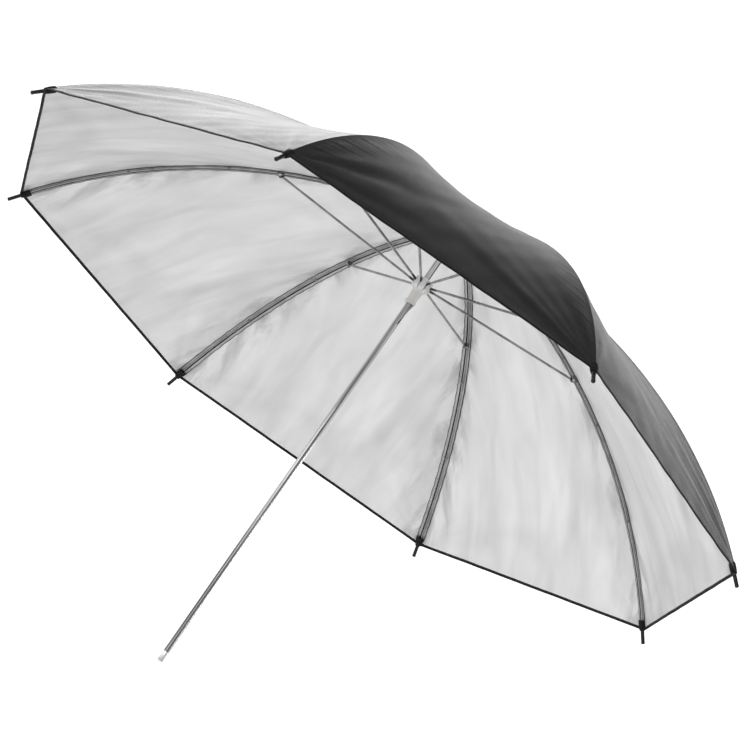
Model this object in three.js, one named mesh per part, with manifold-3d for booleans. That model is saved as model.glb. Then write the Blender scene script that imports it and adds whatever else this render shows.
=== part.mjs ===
// Umbrella reflector for studio lighting: an eight-rib umbrella with a black canopy lined in silver.
//
// Millimetres, +Z up. The shaft stands on the Z axis with its plain end at the origin and the crown at the top.
// Rib 1 points along +X and the others follow every 45 degrees. Gore n lies between rib n and rib n + 1.
// Most pieces are drawn once in a radial frame, X outward, Y across, Z up, and repeated round the shaft.

import * as THREE from 'three';
import { mergeVertices } from 'three/addons/utils/BufferGeometryUtils.js';
import Module from 'manifold-3d';

const wasm = await Module();
wasm.setup();

// ---------------------------------------------------------------- driving dimensions

const RIB_COUNT = 8;
const GORE_ANGLE = (2 * Math.PI) / RIB_COUNT;
const CLEARANCE = 0.3;

// the backs of the ribs lie on this arc, whose centre is a little outside the shaft's axis
const bow = { radius: 622.5, centreR: 21, centreZ: -15 };
const corner = { radius: 487 };

const shaft = { outerR: 3.55, innerR: 2.85, bottomZ: 1.5, topZ: 627 };
const endPlug = { flatR: 2.6, bodyR: 3.3, chamferZ: 0.7, stemR: 2.5, shoulderZ: 1.2, stemTopZ: 14 };
const catchPart = {
  topZ: 499.6, rampHeight: 21, height: 27, width: 1.7, standOut: 3.5, azimuth: -67.5,
  backR: 0.65, leaf: 1.1, cornerCut: 0.6, rampFootR: 2.95, slotMargin: 0.75,
};

const notch = {
  outerR: 10.2, hubR: 5.6, boreR: 3.85, footR: 7.6, bottomZ: 597.5, shoulderZ: 600.1, topZ: 607,
  slotWidth: 1.8, grooveHalf: 0.9,
};
const ribPivot = { radius: 8.2, z: 604.5 };
const notchWire = { wireR: 0.5, sides: 6, turns: 40 };

const rosette = { innerR: 3.9, outerR: 16, bottomZ: 610, thickness: 0.9 };
const ferrule = {
  boreR: 3.85, bottomZ: 611.3, boreTopZ: 627.6, topZ: 641,
  flangeR: 9, flangeTopZ: 612.9, bodyR: 6.2, bodyZ: 615.3, neckR: 5.8, neckZ: 632, tipR: 4.2, roundR: 3.4,
};

const rib = {
  width: 3.2, depth: 2.6, wall: 0.5, firstR: 13.2, steps: 16,
  tongue: 1, eyeR: 1.7, holeR: 0.85, webLength: 3, webWidth: 2.6, webDepth: 1.8,
};
const ribTip = { bodyR: 2.2, collarR: 3, boreR: 2.4, collarLength: 10, reach: 16, sides: 12, toolSides: 10 };

const stretcherPivot = { arcAngle: 19.32, drop: 4 };
const saddle = { length: 9, wall: 0.6, shoulder: 3.1, cheekR: 2.1, rivetR: 0.8, headR: 1.4, headHeight: 0.5 };
const runnerPivot = { radius: 10.4, z: 528 };
const stretcher = {
  width: 2.6, depth: 2.4, wall: 0.5, tongue: 1.1, eyeR: 1.6, holeR: 1.1, endR: 1.5,
  outerInset: 4, innerInset: 7.8, overlap: 2, webLength: 2.4, webWidth: 2, webDepth: 1.2,
};

const runner = {
  boreR: 3.95, sleeveR: 6, collarR: 11, slotFloorR: 7, footR: 6.8, edge: 0.8, slotWidth: 2,
  bottomZ: 500, footTopZ: 503, sleeveTopZ: 519, collarBottomZ: 522, collarTopZ: 534, slotBottomZ: 518,
};
const runnerWire = { ringR: 7.9, wireR: 0.45, sides: 6, turns: 40, grooveHalf: 0.8 };

const cloth = {
  thickness: 0.6, overRib: 1.5, seamGap: 0.2, firstR: 4.6, sag: 9, along: 12, across: 3, cornerRelief: 1.2,
};

// ---------------------------------------------------------------- materials

const finish = {
  chrome: { color: 0xd9dbde, roughness: 0.14, metalness: 1 },
  paleSteel: { color: 0xe6e6e3, roughness: 0.35, metalness: 0.6 },
  nylon: { color: 0xf0efea, roughness: 0.45, metalness: 0 },
  blackPlastic: { color: 0x0b0b0c, roughness: 0.2, metalness: 0 },
  blackCloth: { color: 0x101012, roughness: 0.6, metalness: 0 },
  canopyCloth: { color: 0xc9ccd0, roughness: 0.5, metalness: 0.4 },
};

// ---------------------------------------------------------------- helpers

const reflector = new THREE.Group();
const radians = THREE.MathUtils.degToRad;

function addPiece(name, geometry, finishName, parent = reflector) {
  const material = new THREE.MeshStandardMaterial(finish[finishName]);
  const mesh = new THREE.Mesh(geometry, material);
  mesh.name = name;
  parent.add(mesh);
  return mesh;
}

function spoke(index) {
  const group = new THREE.Group();
  group.rotation.z = index * GORE_ANGLE;
  reflector.add(group);
  return group;
}

// a turned body about the Z axis, from an outline of [r, z] points
function lathe(points, segments = 24) {
  const outline = points.map(([r, z]) => new THREE.Vector2(r, z));
  return toGeometry(toSolid(new THREE.LatheGeometry(outline, segments).rotateX(Math.PI / 2)));
}

function ring(innerR, outerR, bottomZ, topZ, segments = 24) {
  const wall = [[innerR, bottomZ], [outerR, bottomZ], [outerR, topZ], [innerR, topZ], [innerR, bottomZ]];
  return lathe(wall, segments);
}

function boxAt(sizeX, sizeY, sizeZ, x, y, z) {
  return new THREE.BoxGeometry(sizeX, sizeY, sizeZ).translate(x, y, z);
}

function toSolid(geometry) {
  const bare = geometry.clone();
  bare.deleteAttribute('normal');
  bare.deleteAttribute('uv');
  const merged = mergeVertices(bare, 1e-4);
  const vertProperties = new Float32Array(merged.attributes.position.array);
  const triVerts = new Uint32Array(merged.index.array);
  return new wasm.Manifold(new wasm.Mesh({ numProp: 3, vertProperties, triVerts }));
}

function toGeometry(solid) {
  const mesh = solid.getMesh();
  const geometry = new THREE.BufferGeometry();
  geometry.setAttribute('position', new THREE.BufferAttribute(new Float32Array(mesh.vertProperties), 3));
  geometry.setIndex(new THREE.BufferAttribute(new Uint32Array(mesh.triVerts), 1));
  geometry.computeVertexNormals();
  return geometry;
}

function join(...geometries) {
  return toGeometry(geometries.map(toSolid).reduce((whole, solid) => whole.add(solid)));
}

function cut(geometry, ...tools) {
  return toGeometry(tools.map(toSolid).reduce((whole, solid) => whole.subtract(solid), toSolid(geometry)));
}

// a closed body through rings of points that all follow the same outline
function loft(rings) {
  const count = rings[0].length;
  const points = rings.flat();
  const outline = rings[0].map((p) => new THREE.Vector3().copy(p));
  const faces = [];
  for (let i = 0; i + 1 < rings.length; i += 1) {
    for (let j = 0; j < count; j += 1) {
      const a = i * count + j;
      const b = i * count + ((j + 1) % count);
      faces.push(a, a + count, b, b, a + count, b + count);
    }
  }
  const cap = THREE.ShapeUtils.triangulateShape(flatten(outline), []);
  const last = (rings.length - 1) * count;
  for (const [a, b, c] of cap) {
    faces.push(a, b, c);
    faces.push(last + a, last + c, last + b);
  }
  const geometry = new THREE.BufferGeometry().setFromPoints(points);
  geometry.setIndex(faces);
  return facingOut(geometry);
}

// the points of a flat outline in the two directions of its own plane
function flatten(outline) {
  const normal = new THREE.Vector3();
  outline.forEach((p, i) => {
    const next = outline[(i + 1) % outline.length];
    normal.add(new THREE.Vector3().crossVectors(p, next));
  });
  normal.normalize();
  const along = new THREE.Vector3().subVectors(outline[1], outline[0]).normalize();
  const across = new THREE.Vector3().crossVectors(normal, along);
  return outline.map((p) => new THREE.Vector2(p.dot(along), p.dot(across)));
}

function facingOut(geometry) {
  if (signedVolume(geometry) < 0) {
    const index = geometry.index.array;
    for (let i = 0; i < index.length; i += 3) {
      [index[i + 1], index[i + 2]] = [index[i + 2], index[i + 1]];
    }
  }
  geometry.computeVertexNormals();
  return geometry;
}

function signedVolume(geometry) {
  const position = geometry.attributes.position;
  const index = geometry.index.array;
  const [a, b, c] = [new THREE.Vector3(), new THREE.Vector3(), new THREE.Vector3()];
  let volume = 0;
  for (let i = 0; i < index.length; i += 3) {
    a.fromBufferAttribute(position, index[i]);
    b.fromBufferAttribute(position, index[i + 1]);
    c.fromBufferAttribute(position, index[i + 2]);
    volume += a.dot(b.cross(c)) / 6;
  }
  return volume;
}

// a flat plate in the radial plane, centred across it, from an outline of [r, z] points and an optional hole
function radialPlate(outline, thickness, hole) {
  const shape = new THREE.Shape(outline.map(([r, z]) => new THREE.Vector2(r, z)));
  if (hole) {
    shape.holes.push(new THREE.Path().absarc(hole.r, hole.z, hole.radius, 0, 2 * Math.PI, true));
  }
  const plate = new THREE.ExtrudeGeometry(shape, { depth: thickness, bevelEnabled: false, curveSegments: 6 });
  return plate.translate(0, 0, -thickness / 2).rotateX(Math.PI / 2);
}

// the outline of a bar with a round end about one point and a square end at another
function roundEndedBar(round, square, radius, steps = 6) {
  const heading = Math.atan2(square[1] - round[1], square[0] - round[0]);
  const points = [];
  for (let i = 0; i <= steps; i += 1) {
    const angle = heading + Math.PI / 2 + (Math.PI * i) / steps;
    points.push([round[0] + radius * Math.cos(angle), round[1] + radius * Math.sin(angle)]);
  }
  for (const side of [-1, 1]) {
    const angle = heading + (side * Math.PI) / 2;
    points.push([square[0] + radius * Math.cos(angle), square[1] + radius * Math.sin(angle)]);
  }
  return points;
}

function pinAcross(radius, length, r, z, sides = 10) {
  return new THREE.CylinderGeometry(radius, radius, length, sides).translate(r, 0, z);
}

// ---------------------------------------------------------------- the ribs' arc

// a point at some depth under the backs of the ribs, for an angle measured from the top of the arc
function onBow(angle, depth = 0) {
  const reach = bow.radius - depth;
  return [bow.centreR + reach * Math.sin(angle), bow.centreZ + reach * Math.cos(angle)];
}

function bowAngleAt(radius) {
  return Math.asin((radius - bow.centreR) / bow.radius);
}

const cornerAngle = bowAngleAt(corner.radius);
const pivotAngle = radians(stretcherPivot.arcAngle);
const [stretcherPivotR, stretcherPivotZ] = onBow(pivotAngle, stretcherPivot.drop);

// the outline of a U channel, as [across, depth] points, open at its deep side
function channelOutline({ width, depth, wall }) {
  const half = width / 2;
  const inner = half - wall;
  return [
    [-half, 0], [half, 0], [half, depth], [inner, depth],
    [inner, wall], [-inner, wall], [-inner, depth], [-half, depth],
  ];
}

// ---------------------------------------------------------------- shaft and what is fixed to it

function shaftTube() {
  const tube = ring(shaft.innerR, shaft.outerR, shaft.bottomZ, shaft.topZ);
  const slotHeight = catchPart.height + 2 * catchPart.slotMargin;
  const slotZ = catchPart.topZ + catchPart.slotMargin - slotHeight / 2;
  const slot = boxAt(shaft.outerR * 2, catchPart.width + 2 * CLEARANCE, slotHeight, shaft.outerR, 0, slotZ);
  return cut(tube, slot.rotateZ(radians(catchPart.azimuth)));
}

function shaftEndPlug() {
  return lathe([
    [0, 0], [endPlug.flatR, 0], [endPlug.bodyR, endPlug.chamferZ], [endPlug.bodyR, endPlug.shoulderZ],
    [endPlug.stemR, endPlug.shoulderZ], [endPlug.stemR, endPlug.stemTopZ], [0, endPlug.stemTopZ],
  ]);
}

// a wedge with a flat step at its top, a ramp below it, and a leaf that runs down inside the tube
function topSpringCatch() {
  const { backR, cornerCut, topZ, height, rampHeight, rampFootR } = catchPart;
  const outer = shaft.outerR + catchPart.standOut;
  const outline = [
    [backR, topZ], [outer - cornerCut, topZ], [outer, topZ - cornerCut], [rampFootR, topZ - rampHeight],
    [backR + catchPart.leaf, topZ - height], [backR, topZ - height],
  ];
  return radialPlate(outline, catchPart.width).rotateZ(radians(catchPart.azimuth));
}

// the slotted disc that the ribs hinge in, with a groove for its wire, open at the top
function topNotch() {
  const grooveIn = ribPivot.radius - notch.grooveHalf;
  const grooveOut = ribPivot.radius + notch.grooveHalf;
  const grooveZ = ribPivot.z - notch.grooveHalf;
  const body = lathe([
    [notch.boreR, notch.bottomZ], [notch.footR, notch.bottomZ], [notch.outerR, notch.shoulderZ],
    [notch.outerR, notch.topZ], [grooveOut, notch.topZ], [grooveOut, grooveZ], [grooveIn, grooveZ],
    [grooveIn, notch.topZ], [notch.boreR, notch.topZ], [notch.boreR, notch.bottomZ],
  ]);
  const slots = repeatRound(() => {
    const length = notch.outerR;
    const height = notch.topZ - notch.bottomZ + 2;
    return boxAt(length, notch.slotWidth, height, notch.hubR + length / 2, 0, notch.bottomZ + height / 2 - 1);
  });
  return cut(body, ...slots);
}

function repeatRound(make) {
  return Array.from({ length: RIB_COUNT }, (_, i) => make().rotateZ(i * GORE_ANGLE));
}

function notchWireRing() {
  return new THREE.TorusGeometry(ribPivot.radius, notchWire.wireR, notchWire.sides, notchWire.turns)
    .translate(0, 0, ribPivot.z);
}

function rosetteWasher() {
  return ring(rosette.innerR, rosette.outerR, rosette.bottomZ, rosette.bottomZ + rosette.thickness, 32);
}

function ferruleCap() {
  const { boreR, bottomZ, boreTopZ, topZ, flangeR, bodyR, neckR, tipR } = ferrule;
  return lathe([
    [boreR, bottomZ], [flangeR, bottomZ], [flangeR, ferrule.flangeTopZ], [bodyR, ferrule.bodyZ],
    [neckR, ferrule.neckZ], [tipR, topZ - 1], [ferrule.roundR, topZ], [0, topZ],
    [0, boreTopZ], [boreR, boreTopZ], [boreR, bottomZ],
  ]);
}

// ---------------------------------------------------------------- runner

// a sleeve with a slotted collar at its top, and a groove for the wire, open at the top
function runnerSleeve() {
  const { boreR, sleeveR, collarR, footR, edge, bottomZ, footTopZ, collarBottomZ, collarTopZ } = runner;
  const grooveIn = runnerWire.ringR - runnerWire.grooveHalf;
  const grooveOut = runnerWire.ringR + runnerWire.grooveHalf;
  const grooveZ = runnerPivot.z - runnerWire.grooveHalf;
  const body = lathe([
    [boreR, bottomZ], [footR, bottomZ], [footR, footTopZ], [sleeveR, footTopZ + 1],
    [sleeveR, runner.sleeveTopZ], [collarR, collarBottomZ], [collarR, collarTopZ - edge],
    [collarR - edge, collarTopZ], [grooveOut, collarTopZ], [grooveOut, grooveZ], [grooveIn, grooveZ],
    [grooveIn, collarTopZ], [boreR, collarTopZ], [boreR, bottomZ],
  ]);
  const slots = repeatRound(() => {
    const height = collarTopZ - runner.slotBottomZ + 2;
    const middleZ = runner.slotBottomZ + height / 2;
    return boxAt(collarR, runner.slotWidth, height, runner.slotFloorR + collarR / 2, 0, middleZ);
  });
  return cut(body, ...slots);
}

function runnerWireRing() {
  return new THREE.TorusGeometry(runnerWire.ringR, runnerWire.wireR, runnerWire.sides, runnerWire.turns)
    .translate(0, 0, runnerPivot.z);
}

// ---------------------------------------------------------------- ribs, tips, saddles and stretchers

function bowedRib() {
  const outline = channelOutline(rib);
  const first = bowAngleAt(rib.firstR);
  const rings = [];
  for (let i = 0; i <= rib.steps; i += 1) {
    const angle = first + ((cornerAngle - first) * i) / rib.steps;
    rings.push(outline.map(([across, depth]) => {
      const [r, z] = onBow(angle, depth);
      return new THREE.Vector3(r, across, z);
    }));
  }
  const [tongueR, tongueZ] = onBow(first + 0.006, rib.depth / 2);
  const bar = roundEndedBar([ribPivot.radius, ribPivot.z], [tongueR, tongueZ], rib.eyeR);
  const tongue = radialPlate(bar, rib.tongue);
  const web = boxAt(rib.webLength, rib.webWidth, rib.webDepth, tongueR + rib.webLength / 2 - 1, 0, tongueZ);
  const webbed = join(loft(rings), tongue, web);
  return cut(webbed, pinAcross(rib.holeR, rib.width * 2, ribPivot.radius, ribPivot.z));
}

// the cap on a rib's end, turned about the line that carries the rib on past the corner
function tipCap(growth = 0) {
  const start = -ribTip.collarLength;
  const { collarR, bodyR, boreR, reach, sides } = ribTip;
  if (growth > 0) {
    const [outerR, bottomZ] = [collarR + growth, start - growth];
    return lathe([[0, bottomZ], [outerR, bottomZ], [outerR, reach], [0, reach]], ribTip.toolSides);
  }
  return lathe([
    [boreR, start], [collarR, start], [collarR, -1], [bodyR, 1], [bodyR, reach - 1],
    [bodyR - 1, reach], [0, reach], [0, CLEARANCE], [boreR, CLEARANCE], [boreR, start],
  ], sides).rotateZ(Math.PI / sides);
}

function placeOnRibEnd(geometry) {
  const [r, z] = onBow(cornerAngle, rib.depth / 2);
  return geometry.rotateY(Math.PI / 2 + cornerAngle).translate(r, 0, z);
}

// a clip folded over the rib, with two cheeks and the rivet between them
function ribSaddle() {
  const inner = rib.width / 2 + CLEARANCE;
  const outer = inner + saddle.wall;
  const { shoulder } = saddle;
  const bottom = stretcherPivot.drop + saddle.cheekR;
  const halfAngle = saddle.length / 2 / bow.radius;
  const cheek = (side) => {
    const outline = [
      [-halfAngle, 0.4], [halfAngle, 0.4], [halfAngle, shoulder],
      [halfAngle / 2, bottom], [-halfAngle / 2, bottom], [-halfAngle, shoulder],
    ];
    const corners = outline.map(([turn, depth]) => onBow(pivotAngle + turn, depth));
    return radialPlate(corners, saddle.wall).translate(0, (side * (inner + outer)) / 2, 0);
  };
  const rivet = pinAcross(saddle.rivetR, outer * 2, stretcherPivotR, stretcherPivotZ);
  const head = (side) => pinAcross(saddle.headR, saddle.headHeight + 0.1, stretcherPivotR, stretcherPivotZ)
    .translate(0, side * (outer + saddle.headHeight / 2 - 0.05), 0);
  return join(cheek(-1), cheek(1), rivet, head(-1), head(1));
}

function straightStretcher() {
  const outerEnd = new THREE.Vector2(stretcherPivotR, stretcherPivotZ);
  const innerEnd = new THREE.Vector2(runnerPivot.radius, runnerPivot.z);
  const along = outerEnd.clone().sub(innerEnd).normalize();
  const up = new THREE.Vector2(-along.y, along.x);
  const at = (end, distance) => end.clone().addScaledVector(along, distance);
  const half = stretcher.depth / 2;
  const { innerInset, outerInset, overlap } = stretcher;
  const rings = [at(innerEnd, innerInset), at(outerEnd, -outerInset)].map((middle) => (
    channelOutline(stretcher).map(([across, depth]) => {
      const p = middle.clone().addScaledVector(up, depth - half);
      return new THREE.Vector3(p.x, across, p.y);
    })
  ));
  const inner = at(innerEnd, innerInset + overlap);
  const outer = at(outerEnd, -outerInset - overlap);
  const tongue = (end, root, radius) => (
    radialPlate(roundEndedBar(end.toArray(), root.toArray(), radius), stretcher.tongue)
  );
  const web = (p) => boxAt(stretcher.webLength, stretcher.webWidth, stretcher.webDepth, p.x, 0, p.y);
  const tongues = [tongue(innerEnd, inner, stretcher.endR), tongue(outerEnd, outer, stretcher.eyeR)];
  const whole = join(loft(rings), ...tongues, web(inner), web(outer));
  return cut(whole, pinAcross(stretcher.holeR, stretcher.width * 2, outerEnd.x, outerEnd.y));
}

// ---------------------------------------------------------------- canopy

// a point of the cloth in the gore's own frame, X along its middle
// fromMiddle is 0 at the fold line and 1 at a rib
function gorePoint(angle, fromMiddle, height, side) {
  const half = GORE_ANGLE / 2;
  const [r, z] = onBow(angle, -height);
  const progress = THREE.MathUtils.clamp((r - cloth.firstR) / (corner.radius - cloth.firstR), 0, 1);
  const sink = cloth.sag * Math.sin(Math.PI * progress) * (1 - fromMiddle ** 2);
  const halfWidth = r * Math.sin(half);
  const across = THREE.MathUtils.clamp(halfWidth * fromMiddle, cloth.seamGap, halfWidth - cloth.seamGap);
  const x = r * Math.cos(half) - sink * Math.sin(angle);
  return new THREE.Vector3(x, side * across, z - sink * Math.cos(angle));
}

// half a gore: side -1 is the half sewn along the lower-numbered rib, and side 1 the half along the next
function halfGore(side) {
  const first = bowAngleAt(cloth.firstR);
  const rings = [];
  for (let i = 0; i <= cloth.along; i += 1) {
    const angle = first + ((cornerAngle - first) * i) / cloth.along;
    const under = [];
    const over = [];
    for (let j = 0; j <= cloth.across; j += 1) {
      under.push(gorePoint(angle, j / cloth.across, cloth.overRib, side));
      over.push(gorePoint(angle, j / cloth.across, cloth.overRib + cloth.thickness, side));
    }
    rings.push([...under, ...over.reverse()]);
  }
  const collar = placeOnRibEnd(tipCap(cloth.cornerRelief)).rotateZ((side * GORE_ANGLE) / 2);
  return cut(loft(rings), collar);
}

// ---------------------------------------------------------------- assembly

addPiece('shaft_tube', shaftTube(), 'chrome');
addPiece('shaft_end_plug', shaftEndPlug(), 'paleSteel');
addPiece('top_spring_catch', topSpringCatch(), 'chrome');
addPiece('top_notch', topNotch(), 'nylon');
addPiece('notch_wire', notchWireRing(), 'chrome');
addPiece('rosette', rosetteWasher(), 'blackCloth');
addPiece('ferrule_cap', ferruleCap(), 'blackPlastic');
addPiece('runner', runnerSleeve(), 'nylon');
addPiece('runner_wire', runnerWireRing(), 'chrome');

for (let i = 0; i < RIB_COUNT; i += 1) {
  const place = spoke(i);
  addPiece(`rib_${i + 1}`, bowedRib(), 'chrome', place);
  addPiece(`rib_tip_${i + 1}`, placeOnRibEnd(tipCap()), 'blackPlastic', place);
  addPiece(`saddle_${i + 1}`, ribSaddle(), 'chrome', place);
  addPiece(`stretcher_${i + 1}`, straightStretcher(), 'chrome', place);
  const between = spoke(i + 0.5);
  addPiece(`gore_${i + 1}_near`, halfGore(-1), 'canopyCloth', between);
  addPiece(`gore_${i + 1}_far`, halfGore(1), 'canopyCloth', between);
}

export default reflector;
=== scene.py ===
"""Umbrella reflector: the looks of a folding studio umbrella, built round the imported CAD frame.

Metres, +Z up, the shaft on the Z axis with its plain end at the origin. Rib 1 points along +X and the
others follow every 45 degrees. Gore n lies between rib n and rib n + 1. Radial pieces are made once along
+X and turned round.
"""
import math

import bmesh
import bpy
import numpy as np
from mathutils import Matrix, Vector


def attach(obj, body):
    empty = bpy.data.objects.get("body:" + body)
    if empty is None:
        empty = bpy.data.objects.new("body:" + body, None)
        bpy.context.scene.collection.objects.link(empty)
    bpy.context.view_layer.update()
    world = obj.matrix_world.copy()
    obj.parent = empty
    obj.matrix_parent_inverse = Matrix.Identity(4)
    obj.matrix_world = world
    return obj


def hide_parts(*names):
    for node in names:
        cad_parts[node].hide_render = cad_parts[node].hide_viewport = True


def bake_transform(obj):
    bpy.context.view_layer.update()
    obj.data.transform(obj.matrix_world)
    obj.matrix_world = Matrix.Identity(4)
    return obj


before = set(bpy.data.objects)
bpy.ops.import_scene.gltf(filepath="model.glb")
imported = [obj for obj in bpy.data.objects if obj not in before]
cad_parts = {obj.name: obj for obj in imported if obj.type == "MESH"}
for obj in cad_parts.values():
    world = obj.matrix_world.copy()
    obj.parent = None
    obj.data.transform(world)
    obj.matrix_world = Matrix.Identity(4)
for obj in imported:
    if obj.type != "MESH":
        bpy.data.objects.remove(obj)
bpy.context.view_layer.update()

# ---------------------------------------------------------------- driving dimensions

MM = 0.001
RIBS = 8
GORE = 2 * math.pi / RIBS
HALF_GORE = GORE / 2

BOW_RADIUS = 622.5 * MM
BOW_CENTRE_R = 21 * MM
BOW_CENTRE_Z = -15 * MM
CORNER_R = 487 * MM

SHAFT_R = 3.55 * MM
SHAFT_BORE_R = 2.85 * MM
SHAFT_BOTTOM = 1.5 * MM
SHAFT_TOP = 627 * MM
CATCH_AZIMUTH = math.radians(-67.5)
CATCH_TOP = 499.6 * MM
CATCH_WIDTH = 1.7 * MM
CATCH_STAND_OUT = 3.5 * MM
CATCH_RAMP = 21 * MM
CATCH_HEIGHT = 27 * MM
CATCH_CORNER = 0.6 * MM
SLOT_CLEARANCE = 0.6 * MM
SLOT_MARGIN = 0.75 * MM
ANCHOR_DROP = 73 * MM
SEAM_LINE = (0.5 * MM, 0.35 * MM, 410 * MM)
SEAM_LINE_Z = 222 * MM

RIB_WIDTH = 3.2 * MM
RIB_DEPTH = 2.6 * MM
RIB_WALL = 0.5 * MM
RIB_FIRST_R = 13.2 * MM
RIB_PIVOT_R = 8.2 * MM
RIB_PIVOT_Z = 604.5 * MM
JOINT_ANGLE = math.radians(19.32)
JOINT_DROP = 4 * MM
SADDLE_WALL = 0.6 * MM
SADDLE_GAP = 0.3 * MM
SADDLE_HALF = 4.5 * MM
ROD_WIDTH = 2.6 * MM
ROD_DEPTH = 2.4 * MM
ROD_WALL = 0.5 * MM
ROD_INSETS = (7.8 * MM, 4 * MM)
ROD_TAPER = 9 * MM
RUNNER_PIVOT_R = 10.4 * MM
RUNNER_PIVOT_Z = 528 * MM
RUNNER_RING_R = 7.9 * MM
RUNNER_SLOTS = {
    "width": 2.0 * MM, "from_r": 7.0 * MM, "length": 11 * MM, "low": 517 * MM, "high": 536 * MM,
}
NOTCH_SLOTS = {
    "width": 1.8 * MM, "from_r": 5.6 * MM, "length": 11 * MM, "low": 596.5 * MM, "high": 608.5 * MM,
}

CLOTH_LIFT = 1.1 * MM
CLOTH_THICKNESS = 0.35 * MM
CLOTH_FIRST_R = 4.4 * MM
CLOTH_SAG = 9 * MM
CLOTH_ALONG = 120
CLOTH_ACROSS = 44

CORNER_FAN = 1.5 * MM
RIB_PUCKER = 0.13 * MM
CROWN_PLEAT = 0.5 * MM
LONG_WAVE = 0.11 * MM

HEM_WIDTH = 3.4 * MM
HEM_HALF = 0.6 * MM
HEM_BULGE = 0.35 * MM
STITCH_PITCH = 3.0 * MM
SEAM_FIRST_R = 24 * MM
SEAM_WIDTH = 3.6 * MM
SEAM_THICKNESS = 0.35 * MM
SEAM_GAP = 0.2 * MM
OVERLOCK_PITCH = 2.6 * MM
THREADS_PER_METRE = 1100
TIE_SHARES = {"tie": 0.585, "outer_tie": 0.80}

FLOOR_REACH = 60.0
FLOOR_Z = -0.95
BACK_LIGHT = {"place": (-0.6, 2.8, 2.2), "aim": (0, 0, 0.4), "size": 2.4, "power": 78}
FRONT_LIGHT = {"place": (-1.4, -2.9, 1.0), "aim": (0, 0, 0.2), "size": 0.7, "power": 16}
DARK_SIDE = Vector((0.15, -0.93, -0.33))
DARK_SIDE_FADE = (0.25, 0.85, 1.3, 0.3)
OVERHEAD_FADE = (0.5, 0.9, 1.0, 0.08)
CAMERA_LENS = 146.1
CAMERA_PLACE = Vector((-1.262, -3.013, -0.629))
CAMERA_RIGHT = Vector((0.6880, -0.4795, 0.5448))
CAMERA_UP = Vector((-0.6231, -0.0053, 0.7821))
CAMERA_FORWARD = Vector((0.3721, 0.8775, 0.3024))


def bow_point(angle, depth):
    """The radius and height of a point some depth under the backs of the ribs."""
    reach = BOW_RADIUS - depth
    return BOW_CENTRE_R + reach * np.sin(angle), BOW_CENTRE_Z + reach * np.cos(angle)


def beside_rib(angle, across, depth):
    """A point at a distance from the middle plane of the rib along +X."""
    r, z = bow_point(angle, depth)
    return r, across, z


def bow_angle(radius):
    return math.asin((radius - BOW_CENTRE_R) / BOW_RADIUS)


CORNER_ANGLE = bow_angle(CORNER_R)
JOINT_R, JOINT_Z = bow_point(JOINT_ANGLE, JOINT_DROP)


def smooth(t):
    t = np.clip(t, 0, 1)
    return t * t * (3 - 2 * t)


def in_metres(points):
    return [tuple(value * MM for value in point) for point in points]


# ---------------------------------------------------------------- mesh helpers


def added(name, data):
    """A new object in the scene."""
    obj = bpy.data.objects.new(name, data)
    bpy.context.scene.collection.objects.link(obj)
    return obj


def make_object(name, vertices, faces, slots, face_slots=None, sharp_angle=40):
    """A mesh object from points and faces, smooth shaded, with one material per slot."""
    mesh = bpy.data.meshes.new(name)
    mesh.from_pydata([tuple(v) for v in vertices], [], [tuple(f) for f in faces])
    for finish in slots:
        mesh.materials.append(finish)
    if face_slots is not None:
        mesh.polygons.foreach_set("material_index", np.asarray(face_slots, np.int32))
    mesh.validate()
    obj = added(name, mesh)
    outward(obj)
    shade(obj, sharp_angle)
    return obj


def outward(obj, weld=False):
    work = bmesh.new()
    work.from_mesh(obj.data)
    if weld:
        bmesh.ops.remove_doubles(work, verts=work.verts, dist=1e-7)
    bmesh.ops.recalc_face_normals(work, faces=work.faces)
    work.to_mesh(obj.data)
    work.free()


def shade(obj, sharp_angle):
    obj.data.polygons.foreach_set("use_smooth", [True] * len(obj.data.polygons))
    if sharp_angle is not None:
        obj.data.set_sharp_from_angle(angle=math.radians(sharp_angle))


def applied(obj, sharp_angle=40):
    """Bakes an object's modifiers into its mesh."""
    graph = bpy.context.evaluated_depsgraph_get()
    mesh = bpy.data.meshes.new_from_object(obj.evaluated_get(graph))
    obj.modifiers.clear()
    obj.data = mesh
    shade(obj, sharp_angle)
    return obj


def bevelled(obj, width, segments=3, angle=30):
    bevel = obj.modifiers.new("bevel", "BEVEL")
    bevel.width = width
    bevel.segments = segments
    bevel.limit_method = "ANGLE"
    bevel.angle_limit = math.radians(angle)
    return applied(obj)


def carved(obj, cutters):
    for cutter in cutters:
        cut = obj.modifiers.new("cut", "BOOLEAN")
        cut.operation = "DIFFERENCE"
        cut.solver = "EXACT"
        cut.object = cutter
        applied(obj)
    for cutter in cutters:
        bpy.data.objects.remove(cutter)
    return obj


def joined(name, objects):
    """One object that holds several bodies."""
    work = bmesh.new()
    slots = []
    for obj in objects:
        start = len(work.faces)
        work.from_mesh(obj.data)
        work.faces.ensure_lookup_table()
        for face in work.faces[start:]:
            finish = obj.data.materials[face.material_index]
            if finish not in slots:
                slots.append(finish)
            face.material_index = slots.index(finish)
    mesh = bpy.data.meshes.new(name)
    work.to_mesh(mesh)
    work.free()
    for finish in slots:
        mesh.materials.append(finish)
    for obj in objects:
        bpy.data.objects.remove(obj)
    return added(name, mesh)


def repeated(source, stem, replaced=None, body="rib"):
    """Copies of a radial piece on every rib's azimuth, each riding on its own body."""
    copies = []
    for index in range(RIBS):
        number = index + 1
        mesh = source.data.copy()
        mesh.transform(Matrix.Rotation(index * GORE, 4, "Z"))
        copy = added(f"{stem}_{number}", mesh)
        if replaced:
            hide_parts(f"{replaced}_{number}")
        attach(copy, f"{body}_{number}")
        copies.append(copy)
    bpy.data.objects.remove(source)
    return copies


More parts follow.
